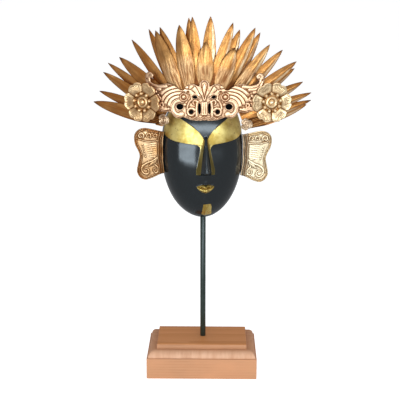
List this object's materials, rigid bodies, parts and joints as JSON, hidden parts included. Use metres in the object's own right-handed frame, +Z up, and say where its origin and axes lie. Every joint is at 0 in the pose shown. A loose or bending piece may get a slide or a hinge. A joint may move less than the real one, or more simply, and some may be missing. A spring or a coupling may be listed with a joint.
{
  "type": "standing mask",
  "caption": "Carved black face with gilt brows and lips and a fan headdress of folded copper blades, on a rod and a moulded wooden base.",
  "frame": {"origin": "centre of the base's underside", "axes": "+Z up along the rod; the face looks along -Y, turned slightly towards +X; +X is to the viewer's right"},
  "size_m": [0.2926, 0.0965, 0.4847],
  "materials": {
    "base_wood": "satin-varnished light reddish wood",
    "rod_paint": "satin dark green-black paint",
    "mask_lacquer": "glossy black lacquer with areas of gold leaf",
    "blade_copper": "burnished copper, orange-brown, brighter on the ridges",
    "band_copper": "embossed rosy copper, satin, darker in the hollows",
    "ear_copper": "embossed golden copper, satin",
    "scroll_metal": "pale embossed metal, satin"
  },
  "bodies": {
    "root": {"base": "base_wood", "rod": "rod_paint", "mask": "mask_lacquer", "crown_strip": "blade_copper", "blade_01": "blade_copper", "blade_02": "blade_copper", "blade_03": "blade_copper", "blade_04": "blade_copper", "blade_05": "blade_copper", "blade_06": "blade_copper", "blade_07": "blade_copper", "blade_08": "blade_copper", "blade_09": "blade_copper", "blade_10": "blade_copper", "blade_11": "blade_copper", "blade_12": "blade_copper", "blade_13": "blade_copper", "blade_14": "blade_copper", "blade_15": "blade_copper", "blade_16": "blade_copper", "blade_17": "blade_copper", "blade_18": "blade_copper", "blade_19": "blade_copper", "blade_20": "blade_copper", "blade_21": "blade_copper", "blade_22": "blade_copper", "blade_23": "blade_copper", "blade_24": "blade_copper", "blade_25": "blade_copper", "blade_26": "blade_copper", "blade_27": "blade_copper", "blade_28": "blade_copper", "relief_band": "band_copper", "flower_left": "band_copper", "flower_right": "band_copper", "ear_plate_left": "ear_copper", "ear_plate_right": "ear_copper", "temple_scroll_left": "scroll_metal", "temple_scroll_right": "scroll_metal"}
  },
  "joints": []
}
